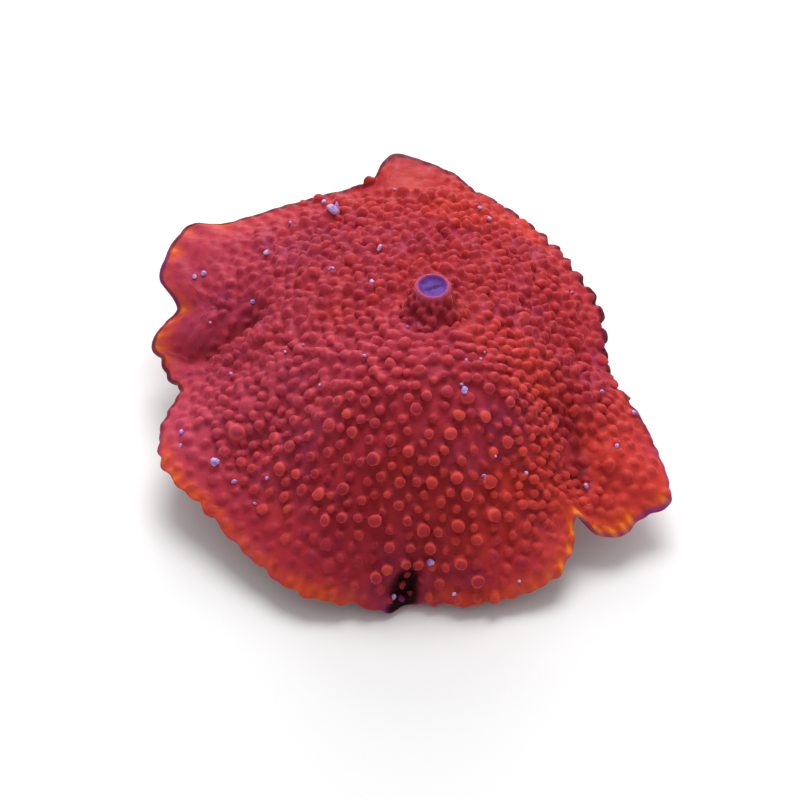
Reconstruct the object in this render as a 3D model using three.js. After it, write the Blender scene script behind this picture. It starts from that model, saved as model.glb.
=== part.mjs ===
// A mushroom coral: one soft polyp, grown in one piece. A broad warty disc with a raised mouth
// droops forward over a short stalk, which is cut off flat where it held on to its rock.
// Millimetres, +Z up. The origin is the centre of the cut, and the front of the disc faces -Y.

import * as THREE from 'three';
import { ConvexHull } from 'three/addons/math/ConvexHull.js';

// The disc's centre, where the mouth stands, and the height of the flesh around it.
const MOUTH_X = 5.3;
const MOUTH_Y = 0.5;
const DISC_HEIGHT = 25.2;

// The disc's radius before it folds: the mound round the mouth keeps this even roundness.
const CALM_RADIUS = 34;

// On the way out the round mound first follows the rim's reach averaged over these degrees, and
// then its lobes and notches. Shares of the way out.
const CALM_OFFSETS = [-24, -18, -12, -6, 0, 6, 12, 18, 24];
const CALM_FROM = 0.1;
const CALM_TO = 0.6;
const LOBES_FROM = 0.45;

// Thickness of the flesh in the middle of the disc and at its rim, and the share of the way out
// from which it thins.
const FLESH_MIDDLE = 3.0;
const FLESH_RIM = 1.1;
const FLESH_THINS_FROM = 0.3;

// The rim, seen from above round the mouth: azimuth in degrees, reach and height. Each entry is
// the tip of a lobe, the bottom of a notch or a turn between them.
const RIM = [
  [-169, 38.9, 9], [-160, 39.8, 8.3], [-147, 37.4, 7], [-132, 37.1, 5.2], [-118, 37.6, 4],
  [-107, 35.4, 2.6], [-99, 35, 1.8], [-92, 33, 1.8], [-82, 33.9, 2.2], [-71, 34.5, 3],
  [-60, 34.4, 4.4], [-53, 31.8, 6], [-49, 30.3, 8.3], [-46, 33.1, 5.5], [-41, 35.2, 5.3],
  [-35, 36, 6], [-30, 37.8, 7], [-19, 33, 9], [-8, 28.4, 11], [-1, 26.2, 11.3],
  [8, 25.3, 12], [17, 26.2, 13], [29, 27.7, 14.5], [39, 27.9, 16], [60, 30.2, 18],
  [79, 33, 20], [83, 35.2, 20.3], [90, 36.6, 21.5], [98, 38.6, 22], [101, 37, 22],
  [104, 34.6, 21], [111, 35.2, 19.5], [124, 37, 18.5], [138, 40.9, 17.5], [142, 44.8, 17.2],
  [148, 44.9, 16.7], [156, 43.3, 15], [159.5, 39.3, 13], [162, 41.1, 11], [168, 41, 9.5],
  [175, 37.9, 9], [180, 35.8, 10],
];

// Heights of the flesh on two inner rings, as shares of the way out: the shoulder, where the flat
// top turns over, and the skirt, half way down the drape. Azimuth in degrees and height.
const SHOULDER_AT = 0.4;
const SHOULDER = [
  [-150, 22.6], [-130, 23.6], [-110, 24.3], [-90, 24.6], [-60, 23.4], [-30, 21.8], [0, 21.4],
  [30, 22.4], [60, 23.4], [90, 24.2], [120, 23.8], [150, 22.8], [180, 22],
];
const SKIRT_AT = 0.73;
const SKIRT = [
  [-170, 13.5], [-150, 12.2], [-132, 12.4], [-115, 14.2], [-95, 15], [-80, 14.4], [-65, 12.6],
  [-50, 12.2], [-38, 12.8], [-25, 13.4], [-10, 14.6], [10, 16], [40, 19], [70, 21], [90, 22.5],
  [110, 21.5], [130, 20], [145, 18.6], [160, 16.4], [170, 15.2], [180, 14.4],
];

// Folds pressed into the flesh, each along a path seen from above, with its depth and half width.
// A fold of negative depth is a ridge.
const FOLDS = [
  { path: [[22.5, -9], [25, -13], [25.5, -16]], depth: 2.8, width: 3.5 },
  { path: [[15, -14], [19, -18], [21.5, -21]], depth: -1.3, width: 3 },
  { path: [[-20.5, 8.2], [-26, 6.2], [-33, 7.6]], depth: 2.7, width: 2.3 },
  { path: [[-13.5, -10], [-17, -11.5], [-20, -11.5]], depth: 1.5, width: 3.2 },
];
const FOLD_FADE = 0.12;

// The mouth: radius and height above the disc, from the sunken lips over the swollen collar and
// down the mound's side.
const MOUTH = [[1.0, 3.2], [1.9, 3.8], [2.5, 3.2], [3.0, 1.7], [4.3, 0.4]];
const MOUTH_SINK = 3.0;
const MOUTH_SIDES = 12;

// The larger warts, each a blunt lump that grows out of the flesh. They fall at random, no two
// closer than the gap, which is wider down the front.
const WART_RADIUS = 1.25;
const WART_HEIGHT = 1.3;
const WART_FOOT_SIDES = 6;
const WART_TOP_SIDES = 3;
const WART_TOP_SHARE = 0.55;
const WART_GAP = 2.45;
const WART_GAP_FRONT = 2.85;
const WART_INNER = 0.18;
const WART_OUTER = 0.94;
const WART_DARTS = 3600;
const WART_SIZE_LEAST = 0.8;

// The front, where the gap is wider, begins and is reached this far before the origin.
const FRONT_FROM = 6;
const FRONT_TO = 16;

// No large wart stands where the flesh is sheared as much as this in a tight fold: 1 is not at all.
const TIGHT_FOLD = 0.5;

// Sides of the rim, and of the rounds below it. The edge bulges by a share of its thickness, and
// the underside is drawn in by a lean, in degrees at the rim.
const RIM_SIDES = 120;
const UNDER_SIDES = 60;
const EDGE_OUT = 0.975;
const EDGE_BULGE = 0.4;
const UNDER_LEAN = 40;

// The stalk: where it leaves the disc, its waist, and its foot at the cut.
const STALK_AT = 0.46;
const WAIST_RADIUS = 9;
const WAIST_HEIGHT = 7;
const FOOT_RADIUS = 14;
const STALK_PULL = 9;
const STALK_HEADING_STEP = 0.1;
const UNDER_ROWS = 4;
const STALK_ROWS = 5;

// The step on the flat disc over which the skin's tangents are taken.
const TANGENT_STEP = 0.2;

const tissue = new THREE.MeshStandardMaterial({ color: 0xa2343c, roughness: 0.42, metalness: 0 });

const degrees = THREE.MathUtils.radToDeg;
const blend = THREE.MathUtils.lerp;
const ease = THREE.MathUtils.smoothstep;
const FULL_TURN = 2 * Math.PI;

// A repeatable share between 0 and 1 for the irregularities of growth.
function chance(index, salt) {
  const value = Math.sin(index * 12.9898 + salt * 78.233) * 43758.5453;
  return value - Math.floor(value);
}

// A cubic from a to b with end slopes, where t goes from 0 to 1 over the span.
function hermite(a, slopeA, b, slopeB, span, t) {
  const t2 = t * t;
  const t3 = t2 * t;
  return (2 * t3 - 3 * t2 + 1) * a + (t3 - 2 * t2 + t) * span * slopeA
    + (3 * t2 - 2 * t3) * b + (t3 - t2) * span * slopeB;
}

// Value number `column` of a closed list of stations, smoothly between them at an azimuth.
function around(stations, azimuth, column) {
  const count = stations.length;
  const at = (index) => {
    const turn = Math.floor(index / count);
    const station = stations[index - turn * count];
    return [station[0] + 360 * turn, station[column]];
  };
  const start = stations[0][0];
  const angle = THREE.MathUtils.euclideanModulo(azimuth - start, 360) + start;
  let index = 0;
  while (at(index + 1)[0] <= angle) index += 1;
  const [before, here, next, after] = [-1, 0, 1, 2].map((step) => at(index + step));
  const span = next[0] - here[0];
  const slopeHere = (next[1] - before[1]) / (next[0] - before[0]);
  const slopeNext = (after[1] - here[1]) / (after[0] - here[0]);
  return hermite(here[1], slopeHere, next[1], slopeNext, span, (angle - here[0]) / span);
}

// The rim's reach with its lobes and notches smoothed away.
function calmReach(azimuth) {
  const total = CALM_OFFSETS.reduce((sum, offset) => sum + around(RIM, azimuth + offset, 1), 0);
  return total / CALM_OFFSETS.length;
}

// How far out the flesh lies: round near the mouth, and lobed at the rim.
function reach(out, azimuth) {
  const inner = blend(CALM_RADIUS, calmReach(azimuth), ease(out, CALM_FROM, CALM_TO));
  return out * blend(inner, around(RIM, azimuth, 1), ease(out, LOBES_FROM, 1));
}

// Height of the flesh along one meridian, through the middle, shoulder, skirt and rim.
function drape(out, azimuth) {
  const knots = [0, SHOULDER_AT, SKIRT_AT, 1];
  const heights = [
    DISC_HEIGHT, around(SHOULDER, azimuth, 1), around(SKIRT, azimuth, 1), around(RIM, azimuth, 2),
  ];
  const chord = (a, b) => (heights[b] - heights[a]) / (knots[b] - knots[a]);
  const slopes = [0, chord(0, 2), chord(1, 3), 0];
  slopes[3] = 1.5 * chord(2, 3) - 0.5 * slopes[2];
  const last = out < knots[1] ? 1 : out < knots[2] ? 2 : 3;
  const span = knots[last] - knots[last - 1];
  const t = (out - knots[last - 1]) / span;
  return hermite(heights[last - 1], slopes[last - 1], heights[last], slopes[last], span, t);
}

// How far the folds press the flesh down at a place seen from above.
function pressed(x, y) {
  const place = new THREE.Vector3(x, y, 0);
  const nearest = new THREE.Vector3();
  return FOLDS.reduce((sum, { path, depth, width }) => {
    const points = path.map(([px, py]) => new THREE.Vector3(px, py, 0));
    const distances = points.slice(1).map((point, index) => (
      new THREE.Line3(points[index], point).closestPointToPoint(place, true, nearest).distanceTo(place)
    ));
    return sum + depth * Math.exp(-((Math.min(...distances) / width) ** 2));
  }, 0);
}

// The smooth upper skin at a place on the disc laid flat, with no warts.
function skin(flat) {
  const out = flat.length() / CALM_RADIUS;
  const turn = Math.atan2(flat.y, flat.x);
  const distance = reach(out, degrees(turn));
  const x = MOUTH_X + distance * Math.cos(turn);
  const y = MOUTH_Y + distance * Math.sin(turn);
  return new THREE.Vector3(x, y, drape(out, degrees(turn)) - pressed(x, y) * ease(1 - out, 0, FOLD_FADE));
}

// The skin's tangents and outward normal there, for one millimetre of the flat disc, with the
// tangents' dot products and how little the flesh is sheared.
function skinFrame(flat) {
  const moves = [new THREE.Vector2(TANGENT_STEP, 0), new THREE.Vector2(0, TANGENT_STEP)];
  const [alongX, alongY] = moves.map((move) => (
    skin(flat.clone().add(move)).sub(skin(flat.clone().sub(move))).divideScalar(2 * TANGENT_STEP)
  ));
  const normal = alongX.clone().cross(alongY);
  const [xx, xy, yy] = [alongX.dot(alongX), alongX.dot(alongY), alongY.dot(alongY)];
  const evenness = (2 * normal.length()) / (xx + yy);
  return { alongX, alongY, xx, xy, yy, evenness, normal: normal.normalize() };
}

const polar = (radius, turn) => new THREE.Vector2(radius * Math.cos(turn), radius * Math.sin(turn));

// The top is a list of vertices, each with its place on the flat disc and its place in space.
const top = { flat: [], place: [] };

function addTop(flat, place) {
  top.flat.push(flat);
  top.place.push(place);
}

function addMouth() {
  const centre = new THREE.Vector2(0.001, 0);
  addTop(centre, skin(centre).add(new THREE.Vector3(0, 0, MOUTH_SINK)));
  MOUTH.forEach(([radius, rise], ring) => {
    for (let side = 0; side < MOUTH_SIDES; side += 1) {
      const flat = polar(radius, ((side + 0.5 * (ring % 2)) / MOUTH_SIDES) * FULL_TURN);
      addTop(flat, skin(flat).add(new THREE.Vector3(0, 0, rise)));
    }
  });
}

// A ring of a wart, parallel to the skin, at a height above it.
function addWartRing(wart, sides, radius, rise) {
  const { alongX, alongY, xx, xy, yy, normal } = wart.frame;
  const across = alongX.clone().normalize();
  const along = normal.clone().cross(across);
  const scale = xx * yy - xy * xy;
  for (let side = 0; side < sides; side += 1) {
    const angle = wart.turn + (side / sides) * FULL_TURN;
    const offset = across.clone().multiplyScalar(radius * Math.cos(angle))
      .addScaledVector(along, radius * Math.sin(angle));
    const [u, v] = [offset.dot(alongX), offset.dot(alongY)];
    const move = new THREE.Vector2((yy * u - xy * v) / scale, (xx * v - xy * u) / scale);
    addTop(wart.flat.clone().add(move), wart.root.clone().add(offset).addScaledVector(normal, rise));
  }
}

// Where the larger warts stand: darts thrown at the disc, kept where no other is too near.
function wartPlaces() {
  const kept = [];
  for (let dart = 0; dart < WART_DARTS; dart += 1) {
    const share = blend(WART_INNER ** 2, WART_OUTER ** 2, chance(dart, 1));
    const flat = polar(Math.sqrt(share) * CALM_RADIUS, chance(dart, 2) * FULL_TURN);
    const root = skin(flat);
    const gap = blend(WART_GAP, WART_GAP_FRONT, ease(-root.y, FRONT_FROM, FRONT_TO));
    const clear = kept.every((other) => other.root.distanceTo(root) > gap);
    const frame = clear ? skinFrame(flat) : null;
    if (clear && frame.evenness > TIGHT_FOLD) {
      const size = blend(WART_SIZE_LEAST, 1, chance(dart, 3));
      kept.push({ flat, root, frame, size, turn: chance(dart, 4) * FULL_TURN });
    }
  }
  return kept;
}

function addWarts() {
  wartPlaces().forEach((wart) => {
    const radius = WART_RADIUS * wart.size;
    addWartRing(wart, WART_FOOT_SIDES, radius, 0);
    addWartRing(wart, WART_TOP_SIDES, radius * WART_TOP_SHARE, WART_HEIGHT * wart.size);
  });
}

function addEdge() {
  [EDGE_OUT, 1].forEach((out, ring) => {
    for (let side = 0; side < RIM_SIDES; side += 1) {
      const flat = polar(out * CALM_RADIUS, ((side + 0.5 * (1 - ring)) / RIM_SIDES) * FULL_TURN);
      addTop(flat, skin(flat));
    }
  });
}

// Triangles of the top: the lower side of the hull of its points lifted on to a bowl, which
// joins each point to its nearest neighbours on the flat disc.
function topTriangles() {
  const lifted = top.flat.map((flat, index) => {
    const point = new THREE.Vector3(flat.x, flat.y, flat.lengthSq() / CALM_RADIUS);
    point.index = index;
    return point;
  });
  const hull = new ConvexHull().setFromPoints(lifted);
  return hull.faces.filter((face) => face.normal.z < -1e-9).map((face) => {
    const corners = [face.edge, face.edge.next, face.edge.prev];
    const [a, b, c] = corners.map((edge) => edge.head().point.index);
    return [a, c, b];
  });
}

// A place on the underside, below the skin and drawn in a little towards the stalk.
function underside(out, turn) {
  const lean = out * THREE.MathUtils.degToRad(UNDER_LEAN);
  const flesh = blend(FLESH_MIDDLE, FLESH_RIM, ease(out, FLESH_THINS_FROM, 1));
  const inward = new THREE.Vector3(
    -Math.cos(turn) * Math.sin(lean),
    -Math.sin(turn) * Math.sin(lean),
    -Math.cos(lean),
  );
  return skin(polar(out * CALM_RADIUS, turn)).addScaledVector(inward, flesh);
}

// The rounded edge, half way from the top's last ring to the underside's first.
function edgeRound(turn) {
  const outward = new THREE.Vector3(Math.cos(turn), Math.sin(turn), 0);
  return skin(polar(CALM_RADIUS, turn)).add(underside(1, turn)).multiplyScalar(0.5)
    .addScaledVector(outward, EDGE_BULGE * FLESH_RIM);
}

// A place down the stalk, from the underside of the disc at 0 to the cut at 1.
function stalk(share, turn) {
  const start = underside(STALK_AT, turn);
  const inward = underside(STALK_AT - STALK_HEADING_STEP, turn).sub(start).normalize();
  const ring = (radius, rise) => new THREE.Vector3(radius * Math.cos(turn), radius * Math.sin(turn), rise);
  return new THREE.CubicBezierCurve3(
    start,
    start.clone().addScaledVector(inward, STALK_PULL),
    ring(WAIST_RADIUS, WAIST_HEIGHT),
    ring(FOOT_RADIUS, 0),
  ).getPoint(share);
}

function polypGeometry() {
  addMouth();
  addWarts();
  addEdge();
  const triangles = topTriangles();
  const places = top.place.slice();
  const addRound = (sides, make) => {
    for (let side = 0; side < sides; side += 1) places.push(make((side / sides) * FULL_TURN));
    return { first: places.length - sides, sides };
  };
  // Joins two rounds. The lower one has as many sides as the upper one, or half as many.
  const join = (upper, lower) => {
    const halved = upper.sides / lower.sides;
    for (let side = 0; side < lower.sides; side += 1) {
      const [a, b] = [lower.first + side, lower.first + ((side + 1) % lower.sides)];
      const above = [0, 1, halved].map((step) => upper.first + ((side * halved + step) % upper.sides));
      triangles.push([above[0], a, above[1]], [above[1], a, b]);
      if (halved > 1) triangles.push([above[1], b, above[2]]);
    }
  };
  const rounds = [
    { first: top.place.length - RIM_SIDES, sides: RIM_SIDES },
    addRound(RIM_SIDES, edgeRound),
    addRound(RIM_SIDES, (turn) => underside(1, turn)),
  ];
  for (let step = 1; step < UNDER_ROWS; step += 1) {
    rounds.push(addRound(UNDER_SIDES, (turn) => underside(blend(1, STALK_AT, step / UNDER_ROWS), turn)));
  }
  for (let step = 0; step <= STALK_ROWS; step += 1) {
    rounds.push(addRound(UNDER_SIDES, (turn) => stalk(step / STALK_ROWS, turn)));
  }
  rounds.slice(1).forEach((round, index) => join(rounds[index], round));
  const { first } = rounds[rounds.length - 1];
  const foot = places.push(new THREE.Vector3(0, 0, 0)) - 1;
  for (let side = 0; side < UNDER_SIDES; side += 1) {
    triangles.push([first + side, foot, first + ((side + 1) % UNDER_SIDES)]);
  }
  const geometry = new THREE.BufferGeometry();
  const coordinates = places.flatMap((place) => place.toArray());
  geometry.setAttribute('position', new THREE.Float32BufferAttribute(coordinates, 3));
  geometry.setIndex(triangles.flat());
  geometry.computeVertexNormals();
  return geometry;
}

const polyp = new THREE.Mesh(polypGeometry(), tissue);
polyp.name = 'polyp';

const coral = new THREE.Group();
coral.add(polyp);

export default coral;
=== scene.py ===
"""A mushroom coral: one soft warty polyp, cut off flat where its stalk held on to the rock."""
import math

import bpy
import numpy as np
from mathutils import Matrix, Vector
from mathutils.bvhtree import BVHTree


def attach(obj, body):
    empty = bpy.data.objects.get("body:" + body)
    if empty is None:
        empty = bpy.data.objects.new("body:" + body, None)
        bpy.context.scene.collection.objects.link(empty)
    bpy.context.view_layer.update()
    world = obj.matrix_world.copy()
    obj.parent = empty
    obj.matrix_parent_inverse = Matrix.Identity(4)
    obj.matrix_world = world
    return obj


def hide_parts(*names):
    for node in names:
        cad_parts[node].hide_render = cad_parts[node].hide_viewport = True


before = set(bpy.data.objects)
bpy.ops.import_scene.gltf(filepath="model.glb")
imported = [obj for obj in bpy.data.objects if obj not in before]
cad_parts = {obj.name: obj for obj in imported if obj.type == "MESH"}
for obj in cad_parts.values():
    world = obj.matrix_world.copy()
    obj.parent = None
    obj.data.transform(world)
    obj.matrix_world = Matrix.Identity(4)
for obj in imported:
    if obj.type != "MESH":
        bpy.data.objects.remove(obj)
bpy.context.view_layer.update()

# The studio is no part of the coral: a wide pale floor, an even white sky and two soft round lamps
# behind the coral, one high and one low. The camera looks down on it at 45 degrees.
FLOOR_SIZE = 6.0
SKY_STRENGTH = 0.50
LAMP_AT = (0.03, 0.31, 0.66)
LAMP_WIDTH = 0.50
LAMP_POWER = 4.0
BACK_LAMP_AT = (0.02, 0.60, 0.30)
BACK_LAMP_WIDTH = 0.40
BACK_LAMP_POWER = 2.2
PAPER = (0.86, 0.86, 0.86, 1)
PAPER_ROUGHNESS = 0.8
LOOK_AT = (0.0008, -0.0039, 0.012)
CAMERA_RISE = math.radians(45)
CAMERA_AWAY = 0.33
CAMERA_LENS = 105
CAMERA_NEAR = 0.01


def new_object(name, data):
    thing = bpy.data.objects.new(name, data)
    bpy.context.scene.collection.objects.link(thing)
    return thing


def aimed(name, data, place):
    """A lamp or a camera at a place, turned to the coral."""
    thing = new_object(name, data)
    thing.location = place
    thing.rotation_euler = (Vector(LOOK_AT) - Vector(place)).to_track_quat("-Z", "Y").to_euler()
    return thing


def new_material(name):
    """A material, and the inputs of its shader."""
    made = bpy.data.materials.new(name)
    made.use_nodes = True
    return made, made.node_tree.nodes["Principled BSDF"].inputs


paper, paper_inputs = new_material("paper")
paper_inputs["Base Color"].default_value = PAPER
paper_inputs["Roughness"].default_value = PAPER_ROUGHNESS
half = FLOOR_SIZE / 2
floor_mesh = bpy.data.meshes.new("floor")
floor_mesh.from_pydata([(-half, -half, 0), (half, -half, 0), (half, half, 0), (-half, half, 0)],
                       [], [(0, 1, 2, 3)])
floor_mesh.materials.append(paper)
new_object("floor", floor_mesh)

sky = bpy.data.worlds.new("sky")
sky.use_nodes = True
sky.node_tree.nodes["Background"].inputs["Color"].default_value = (1, 1, 1, 1)
sky.node_tree.nodes["Background"].inputs["Strength"].default_value = SKY_STRENGTH
bpy.context.scene.world = sky

for name, place, width, power in [("lamp", LAMP_AT, LAMP_WIDTH, LAMP_POWER),
                                  ("back_lamp", BACK_LAMP_AT, BACK_LAMP_WIDTH, BACK_LAMP_POWER)]:
    lamp = bpy.data.lights.new(name, "AREA")
    lamp.shape = "DISK"
    lamp.size = width
    lamp.energy = power
    aimed(name, lamp, place)

camera = bpy.data.cameras.new("camera")
camera.lens = CAMERA_LENS
camera.clip_start = CAMERA_NEAR
camera_way = Vector((0, -math.cos(CAMERA_RISE), math.sin(CAMERA_RISE)))
camera_place = Vector(LOOK_AT) + CAMERA_AWAY * camera_way
bpy.context.scene.camera = aimed("camera", camera, camera_place)
bpy.context.scene.view_settings.view_transform = "Standard"

# The disc is one sheet of flesh, thick in the middle and thin at the rim. It grew round the
# mouth, and hangs over the stalk in lobes and folds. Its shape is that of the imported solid:
# millimetres, with azimuths in degrees round the mouth.
MM = 0.001
MOUTH_X = 5.3
MOUTH_Y = 0.5
DISC_HEIGHT = 25.2
CALM_RADIUS = 34.0
FLESH_MIDDLE = 3.0
FLESH_RIM = 1.1
# Near the mouth the lobes are evened out over these azimuths, in a band of shares out, and from
# the last share out they show.
CALM_OFFSETS = range(-24, 25, 6)
CALM_BAND = (0.1, 0.6)
LOBES_FROM = 0.45
# The rim: azimuth, reach from the mouth and height.
RIM = [
    (-169, 38.9, 9), (-160, 39.8, 8.3), (-147, 37.4, 7), (-132, 37.1, 5.2), (-118, 37.6, 4),
    (-107, 35.4, 2.6), (-99, 35, 1.8), (-92, 33, 1.8), (-82, 33.9, 2.2), (-71, 34.5, 3),
    (-60, 34.4, 4.4), (-53, 31.8, 6), (-49, 30.3, 8.3), (-46, 33.1, 5.5), (-41, 35.2, 5.3),
    (-35, 36, 6), (-30, 37.8, 7), (-19, 33, 9), (-8, 28.4, 11), (-1, 26.2, 11.3),
    (8, 25.3, 12), (17, 26.2, 13), (29, 27.7, 14.5), (39, 27.9, 16), (60, 30.2, 18),
    (79, 33, 20), (83, 35.2, 20.3), (90, 36.6, 21.5), (98, 38.6, 22), (101, 37, 22),
    (104, 34.6, 21), (111, 35.2, 19.5), (124, 37, 18.5), (138, 40.9, 17.5), (142, 44.8, 17.2),
    (148, 44.9, 16.7), (156, 43.3, 15), (159.5, 39.3, 13), (162, 41.1, 11), (168, 41, 9.5),
    (175, 37.9, 9), (180, 35.8, 10),
]
# Heights of two inner rings: the shoulder, where the flat top turns over, and the skirt.
SHOULDER_AT = 0.4
SHOULDER = [
    (-150, 22.6), (-130, 23.6), (-110, 24.3), (-90, 24.6), (-60, 23.4), (-30, 21.8), (0, 21.4),
    (30, 22.4), (60, 23.4), (90, 24.2), (120, 23.8), (150, 22.8), (180, 22),
]
SKIRT_AT = 0.73
SKIRT = [
    (-170, 13.5), (-150, 12.2), (-132, 12.4), (-115, 14.2), (-95, 15), (-80, 14.4), (-65, 12.6),
    (-50, 12.2), (-38, 12.8), (-25, 13.4), (-10, 14.6), (10, 16), (40, 19), (70, 21), (90, 22.5),
    (110, 21.5), (130, 20), (145, 18.6), (160, 16.4), (170, 15.2), (180, 14.4),
]
# Folds pressed into the flesh: a path seen from above, depth and half width. A ridge is negative.
FOLDS = [
    ([(22.5, -9), (25, -13), (25.5, -16)], 2.8, 3.5),
    ([(15, -14), (19, -18), (21.5, -21)], -1.3, 3),
    ([(-20.5, 8.2), (-26, 6.2), (-33, 7.6)], 2.7, 2.3),
    ([(-13.5, -10), (-17, -11.5), (-20, -11.5)], 1.5, 3.2),
]
FOLD_FADE = 0.12
CREASE_DEPTH = 2.0
CREASE_WIDTH = 1.5
# At the front rim the flesh tucks in to a dark pocket: azimuth and share out, with half widths,
# and how far the flesh goes back and down there.
POCKET_AT = (-97.0, 0.958)
POCKET_SPREAD = (4.2, 0.05)
POCKET_DEPTH = 2.8
POCKET_MOVE = (0.8, -0.4)
# Low waves all over the living flesh, and the frill of its rim: waves in a turn, and heights.
SWELL_WAVES = 9
SWELL_LENGTHS = (4.0, 11.0)
SWELL = 0.09
FRILL_FROM = 0.84
FRILL = [(41, 0.20), (67, 0.20), (97, 0.14)]
# Where the frill is stronger: azimuth, half width, and how much more.
PLEATED_RIM = (167, 9, 1.6)
# Along the back right the rim is scalloped: azimuths, scallops in a turn, and depth.
SCALLOPED_FROM, SCALLOPED_TO = -14, 84
SCALLOPED_FADE = 10
SCALLOPS = 58
SCALLOP_DEPTH = 0.9
SCALLOP_MIDDLE = 0.64
# How far apart two places are that give a slope: on the living skin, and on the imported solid.
LIVING_STEP = 0.15
SOLID_STEP = 0.2


def chance(index, salt):
    """A repeatable share between 0 and 1 for the irregularities of growth."""
    value = np.sin(np.asarray(index) * 12.9898 + salt * 78.233) * 43758.5453
    return value - np.floor(value)


def blend(a, b, share):
    return a + (b - a) * share


def ease(value, start, end):
    share = np.clip((value - start) / (end - start), 0, 1)
    return share * share * (3 - 2 * share)


def cubic(a, slope_a, b, slope_b, span, t):
    """From a to b with slopes at both ends, where t goes from 0 to 1 over the span."""
    return ((2 * t**3 - 3 * t**2 + 1) * a + (t**3 - 2 * t**2 + t) * span * slope_a
            + (3 * t**2 - 2 * t**3) * b + (t**3 - t**2) * span * slope_b)


def around(stations, azimuth, column):
    """One column of a closed list of stations, smoothly between them."""
    table = np.array(stations, float)
    angle = np.concatenate([table[-2:, 0] - 360, table[:, 0], table[:3, 0] + 360])
    value = np.concatenate([table[-2:, column], table[:, column], table[:3, column]])
    slope = np.zeros_like(value)
    slope[1:-1] = (value[2:] - value[:-2]) / (angle[2:] - angle[:-2])
    place = np.mod(azimuth - table[0, 0], 360) + table[0, 0]
    here = np.clip(np.searchsorted(angle, place, side="right") - 1, 1, len(angle) - 3)
    span = angle[here + 1] - angle[here]
    return cubic(value[here], slope[here], value[here + 1], slope[here + 1], span,
                 (place - angle[here]) / span)


def reach(out, azimuth):
    """How far out the flesh lies: round near the mouth, and lobed at the rim."""
    calm = np.mean([around(RIM, azimuth + offset, 1) for offset in CALM_OFFSETS], axis=0)
    inner = blend(CALM_RADIUS, calm, ease(out, *CALM_BAND))
    return out * blend(inner, around(RIM, azimuth, 1), ease(out, LOBES_FROM, 1))


def drape(out, azimuth):
    """Height along a meridian, through the middle, shoulder, skirt and rim."""
    knots = np.array([0, SHOULDER_AT, SKIRT_AT, 1])
    height = np.stack([np.full_like(out, DISC_HEIGHT), around(SHOULDER, azimuth, 1),
                       around(SKIRT, azimuth, 1), around(RIM, azimuth, 2)])
    slope = np.zeros_like(height)
    slope[1] = (height[2] - height[0]) / (knots[2] - knots[0])
    slope[2] = (height[3] - height[1]) / (knots[3] - knots[1])
    slope[3] = 1.5 * (height[3] - height[2]) / (knots[3] - knots[2]) - 0.5 * slope[2]
    first = np.where(out < knots[1], 0, np.where(out < knots[2], 1, 2))
    each = np.arange(len(out))
    span = knots[first + 1] - knots[first]
    return cubic(height[first, each], slope[first, each], height[first + 1, each],
                 slope[first + 1, each], span, (out - knots[first]) / span)


def distance_to_path(place, path):
    """How far places seen from above are from a path of straight stretches."""
    nearest = np.full(len(place), np.inf)
    for start, end in zip(np.array(path[:-1], float), np.array(path[1:], float)):
        along = end - start
        share = np.clip((place - start) @ along / (along @ along), 0, 1)
        nearest = np.minimum(nearest, np.linalg.norm(place - start - share[:, None] * along, axis=1))
    return nearest


def polar(radius, turn):
    return np.stack([radius * np.cos(turn), radius * np.sin(turn)], axis=-1)


def skin(flat):
    """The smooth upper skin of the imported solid, at places on the disc laid flat."""
    out = np.linalg.norm(flat, axis=1) / CALM_RADIUS
    turn = np.arctan2(flat[:, 1], flat[:, 0])
    place = np.array([MOUTH_X, MOUTH_Y]) + polar(reach(out, np.degrees(turn)), turn)
    pressed = sum(depth * np.exp(-(distance_to_path(place, path) / width) ** 2)
                  for path, depth, width in FOLDS)
    height = drape(out, np.degrees(turn)) - pressed * ease(1 - out, 0, FOLD_FADE)
    return np.column_stack([place, height])


def apart_in_turn(turn, azimuth):
    """Degrees from an azimuth, either way round."""
    return np.mod(np.degrees(turn) - azimuth + 180, 360) - 180


def in_pocket(out, turn):
    """How deep in the tuck a place lies, from 0 to 1."""
    aside = apart_in_turn(turn, POCKET_AT[0]) / POCKET_SPREAD[0]
    return np.exp(-aside**2 - ((out - POCKET_AT[1]) / POCKET_SPREAD[1])**2)


def in_crease(place):
    """How near the bottom of a deep fold places seen from above are, from 0 to 1."""
    near = [np.exp(-(distance_to_path(place, path) / CREASE_WIDTH) ** 2)
            for path, depth, width in FOLDS if depth > CREASE_DEPTH]
    return np.max(near, axis=0)


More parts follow.
